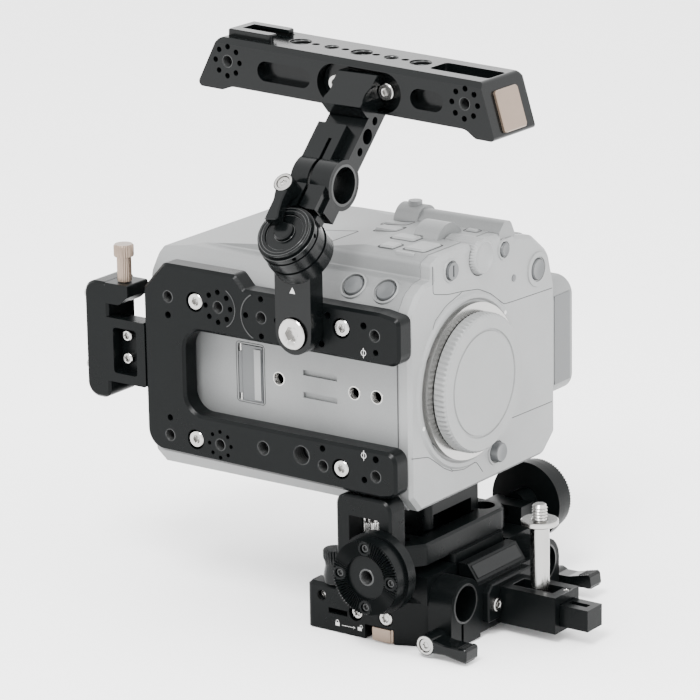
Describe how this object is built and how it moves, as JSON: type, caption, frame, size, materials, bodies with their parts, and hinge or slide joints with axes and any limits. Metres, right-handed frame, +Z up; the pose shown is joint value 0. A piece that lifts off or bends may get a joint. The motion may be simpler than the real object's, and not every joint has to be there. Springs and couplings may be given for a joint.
{
  "type": "cinema camera rig",
  "caption": "Box-shaped cinema camera in a side plate, on a quick-release base with rod clamps, rosettes and a lens support, under a top handle on a folding arm.",
  "frame": {"origin": "mouth of the 3/8 inch tripod thread, in the base's bottom face", "axes": "+X forward along the optical axis, +Y to the side away from the side plate, +Z up"},
  "size_m": [0.2221, 0.162, 0.2403],
  "materials": {
    "arm_black": "anodised satin",
    "battery_case": "matte",
    "camera_front": "satin",
    "camera_shell": "satin",
    "cap_plastic": "matte",
    "champagne": "anodised satin",
    "circuit": "matte",
    "control_dark": "satin",
    "control_grey": "satin",
    "dark_steel": "blackened",
    "door_plastic": "matte",
    "handle_black": "anodised satin",
    "internals": "matte",
    "lens_mount": "brushed",
    "lever_black": "anodised satin",
    "polished_steel": "polished",
    "record_accent": "satin",
    "rig_black": "anodised satin",
    "rosette_black": "anodised satin",
    "steel": "bright",
    "vent_grey": "matte"
  },
  "bodies": {
    "rig": {"base_block": "rig_black", "base_screws": "steel", "battery": "battery_case", "bottom_bracket": "rig_black", "cable_clamp": "rig_black", "camera_casing": "camera_shell", "clamp_screws": "steel", "cooling_fan": "internals", "door_pin": "steel", "front_cover": "camera_front", "main_board": "circuit", "mount_ring": "lens_mount", "pivot_screw": "steel", "plate_screws": "steel", "release_plate": "rig_black", "riser_block": "rig_black", "rod_clamp": "rig_black", "rosette_mounts": "rig_black", "rosette_screws": "dark_steel", "rosettes": "rosette_black", "sensor_unit": "internals", "side_housing": "camera_front", "side_plate": "rig_black", "support_arm": "rig_black", "support_screws": "steel", "vent_panel": "vent_grey"},
    "near_lever": {"near_lever": "lever_black", "near_lever_bolt": "steel"},
    "far_lever": {"far_lever": "lever_black", "far_lever_bolt": "steel"},
    "safety_latch": {"safety_latch": "champagne"},
    "lock_knob": {"lock_knob": "lever_black"},
    "support_slider": {"support_slider": "arm_black", "support_post": "polished_steel", "support_stud": "steel"},
    "support_nut": {"support_nut": "polished_steel"},
    "body_cap": {"body_cap": "cap_plastic"},
    "front_dial": {"front_dial": "control_grey"},
    "slotted_knob": {"slotted_knob": "control_grey"},
    "front_button": {"front_button": "control_dark"},
    "white_balance_button": {"white_balance_button": "control_dark"},
    "lens_release_button": {"lens_release_button": "control_grey"},
    "record_button": {"record_button": "record_accent"},
    "assign_button": {"assign_button": "control_grey"},
    "deck_button_1": {"deck_button_1": "control_dark"},
    "deck_button_2": {"deck_button_2": "control_dark"},
    "deck_button_3": {"deck_button_3": "control_dark"},
    "deck_button_4": {"deck_button_4": "control_dark"},
    "side_door": {"side_door": "door_plastic"},
    "lower_arm": {"lower_arm": "arm_black"},
    "upper_arm": {"upper_arm": "arm_black", "saddle": "arm_black", "saddle_screws": "steel", "top_handle": "handle_black", "handle_end_plates": "champagne", "accessory_shoe": "dark_steel"},
    "tension_disc": {"tension_disc": "rosette_black"},
    "arm_lever": {"arm_lever": "lever_black", "arm_lever_bolt": "steel"},
    "thumbscrew": {"thumbscrew": "champagne"}
  },
  "joints": [
    {"name": "near_lever_turn", "type": "hinge", "parent": "rig", "child": "near_lever", "pos_m": [0.0305, -0.045, 0.0054], "axis": [0, -1, 0], "range_deg": [0, 110]},
    {"name": "far_lever_turn", "type": "hinge", "parent": "rig", "child": "far_lever", "pos_m": [0.0305, 0.045, 0.0054], "axis": [0, -1, 0], "range_deg": [0, 80]},
    {"name": "latch_slide", "type": "slide", "parent": "rig", "child": "safety_latch", "axis": [-1, 0, 0], "range_m": [0, 0.0035]},
    {"name": "lock_knob_turn", "type": "hinge", "parent": "rig", "child": "lock_knob", "pos_m": [-0.021, -0.0422, 0.0275], "axis": [0, 0, 1], "range_deg": [0, 90]},
    {"name": "support_slide", "type": "slide", "parent": "rig", "child": "support_slider", "axis": [1, 0, 0], "range_m": [-0.0047, 0.0047]},
    {"name": "support_nut_turn", "type": "hinge", "parent": "support_slider", "child": "support_nut", "pos_m": [0.0528, 0, 0.048], "axis": [0, 0, 1], "continuous": true},
    {"name": "cap_turn", "type": "hinge", "parent": "rig", "child": "body_cap", "pos_m": [0.022, 0, 0.103], "axis": [1, 0, 0], "range_deg": [0, 60]},
    {"name": "dial_turn", "type": "hinge", "parent": "rig", "child": "front_dial", "pos_m": [0.011, 0.01, 0.1536], "axis": [1, 0, 0], "continuous": true},
    {"name": "slotted_knob_turn", "type": "hinge", "parent": "rig", "child": "slotted_knob", "pos_m": [0.018, -0.0115, 0.1524], "axis": [1, 0, 0], "range_deg": [-90, 90]},
    {"name": "front_button_press", "type": "slide", "parent": "rig", "child": "front_button", "axis": [-1, 0, 0], "range_m": [0, 0.001], "stiffness_N_per_m": 300, "springref_m": -0.001},
    {"name": "white_balance_button_press", "type": "slide", "parent": "rig", "child": "white_balance_button", "axis": [-1, 0, 0], "range_m": [0, 0.0008], "stiffness_N_per_m": 300, "springref_m": -0.001},
    {"name": "lens_release_button_press", "type": "slide", "parent": "rig", "child": "lens_release_button", "axis": [-1, 0, 0], "range_m": [0, 0.002], "stiffness_N_per_m": 300, "springref_m": -0.001},
    {"name": "record_button_press", "type": "slide", "parent": "rig", "child": "record_button", "axis": [0, 0.7398, -0.6728], "range_m": [0, 0.0007], "stiffness_N_per_m": 300, "springref_m": -0.001},
    {"name": "assign_button_press", "type": "slide", "parent": "rig", "child": "assign_button", "axis": [0, 0.7398, -0.6728], "range_m": [0, 0.0007], "stiffness_N_per_m": 300, "springref_m": -0.001},
    {"name": "deck_button_1_press", "type": "slide", "parent": "rig", "child": "deck_button_1", "axis": [0, 0, -1], "range_m": [0, 0.0007], "stiffness_N_per_m": 300, "springref_m": -0.001},
    {"name": "deck_button_2_press", "type": "slide", "parent": "rig", "child": "deck_button_2", "axis": [0, 0, -1], "range_m": [0, 0.0007], "stiffness_N_per_m": 300, "springref_m": -0.001},
    {"name": "deck_button_3_press", "type": "slide", "parent": "rig", "child": "deck_button_3", "axis": [0, 0, -1], "range_m": [0, 0.0007], "stiffness_N_per_m": 300, "springref_m": -0.001},
    {"name": "deck_button_4_press", "type": "slide", "parent": "rig", "child": "deck_button_4", "axis": [0, 0, -1], "range_m": [0, 0.0007], "stiffness_N_per_m": 300, "springref_m": -0.001},
    {"name": "side_door_hinge", "type": "hinge", "parent": "rig", "child": "side_door", "pos_m": [-0.06795, -0.0413, 0.1037], "axis": [0, 0, -1], "range_deg": [0, 90]},
    {"name": "lower_arm_pivot", "type": "hinge", "parent": "rig", "child": "lower_arm", "pos_m": [-0.0245, -0.0588, 0.1318], "axis": [0, 1, 0], "range_deg": [-15, 15]},
    {"name": "upper_arm_pivot", "type": "hinge", "parent": "lower_arm", "child": "upper_arm", "pos_m": [-0.0245, -0.06207, 0.16965], "axis": [0, -0.7071, 0.7071], "range_deg": [-20, 20]},
    {"name": "tension_disc_turn", "type": "hinge", "parent": "lower_arm", "child": "tension_disc", "pos_m": [-0.0245, -0.06596, 0.17354], "axis": [0, -0.7071, 0.7071], "range_deg": [-180, 180]},
    {"name": "arm_lever_turn", "type": "hinge", "parent": "upper_arm", "child": "arm_lever", "pos_m": [-0.031, -0.0562, 0.19037], "axis": [0, -0.7071, 0.7071], "range_deg": [0, 90]},
    {"name": "thumbscrew_turn", "type": "hinge", "parent": "rig", "child": "thumbscrew", "pos_m": [-0.1235, -0.048, 0.142], "axis": [0, 0, 1], "range_deg": [0, 180]}
  ]
}
